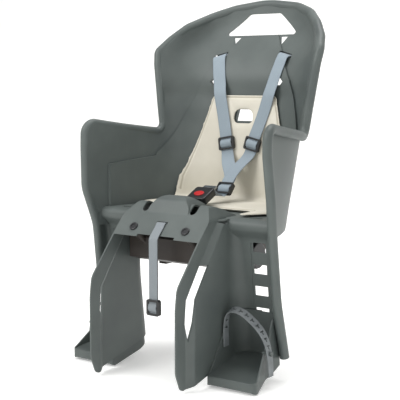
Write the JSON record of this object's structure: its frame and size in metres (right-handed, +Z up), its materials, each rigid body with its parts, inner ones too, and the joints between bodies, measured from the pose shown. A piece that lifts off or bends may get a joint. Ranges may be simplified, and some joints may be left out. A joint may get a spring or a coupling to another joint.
{
  "type": "child bike seat",
  "caption": "Rear child seat for a bicycle carrier: moulded bucket with wings and leg channels, padded cover, buckled harness, sliding footrests with foot straps and a clamping carrier adapter.",
  "frame": {"origin": "middle of the flat underside of the carrier adapter, between the carrier's two tubes", "axes": "+Z up, -Y the way the child faces (the front), +X to the right as seen from the front"},
  "size_m": [0.4498, 0.477, 0.7212],
  "materials": {
    "shell_plastic": "moulded polypropylene, fine grain",
    "pad_cover": "coated cloth with welded seams",
    "webbing": "woven polyester webbing",
    "black_plastic": "moulded acetal",
    "black_webbing": "woven polyester webbing",
    "red_plastic": "moulded, smooth",
    "adapter_plastic": "glass-filled nylon",
    "steel": "zinc plated",
    "strap_rubber": "soft moulded rubber",
    "footrest_plastic": "moulded polypropylene, fine grain"
  },
  "bodies": {
    "seat": {"seat_shell": "shell_plastic", "back_pad": "pad_cover", "shoulder_strap_left": "webbing", "shoulder_strap_right": "webbing", "strap_adjuster_left": "black_plastic", "strap_adjuster_right": "black_plastic", "strap_keepers": "black_plastic", "harness_ring": "black_plastic", "tongue_strap": "webbing", "strap_tongue": "steel", "buckle_body": "black_plastic", "crotch_strap": "black_webbing", "crotch_keeper": "black_plastic", "front_strap": "webbing", "front_strap_adjuster": "black_plastic", "bridge_screws": "steel", "carrier_adapter": "adapter_plastic", "adapter_bolts": "steel"},
    "footrest_left": {"footrest_left": "footrest_plastic", "foot_strap_left": "strap_rubber"},
    "footrest_right": {"footrest_right": "footrest_plastic", "foot_strap_right": "strap_rubber"},
    "button": {"buckle_button": "red_plastic"},
    "jaw_left": {"clamp_jaw_left": "adapter_plastic"},
    "jaw_right": {"clamp_jaw_right": "adapter_plastic"},
    "spindle": {"clamp_spindle": "steel", "clamp_knob": "black_plastic", "knob_ring": "red_plastic"}
  },
  "joints": [
    {"name": "footrest_slide_left", "type": "slide", "parent": "seat", "child": "footrest_left", "axis": [0, -0.1191, 0.9929], "range_m": [0, 0.1245]},
    {"name": "footrest_slide_right", "type": "slide", "parent": "seat", "child": "footrest_right", "axis": [0, -0.1191, 0.9929], "range_m": [0, 0.1245]},
    {"name": "buckle_press", "type": "slide", "parent": "seat", "child": "button", "axis": [0, 0.4226, -0.9063], "range_m": [0, 0.0025], "stiffness_N_per_m": 400},
    {"name": "clamp_turn", "type": "hinge", "parent": "seat", "child": "spindle", "pos_m": [0, 0, 0.0145], "axis": [1, 0, 0], "range_deg": [-1052, 602]},
    {"name": "jaw_slide_left", "type": "slide", "parent": "seat", "child": "jaw_left", "axis": [1, 0, 0], "range_m": [-0.0176, 0.0101]},
    {"name": "jaw_slide_right", "type": "slide", "parent": "seat", "child": "jaw_right", "axis": [-1, 0, 0], "range_m": [-0.0175, 0.01]}
  ],
  "couplings": [
    {"joint": "jaw_slide_left", "follows": "jaw_slide_right", "ratio": 1},
    {"joint": "clamp_turn", "follows": "jaw_slide_right", "rad_per_m": 1047.2}
  ]
}
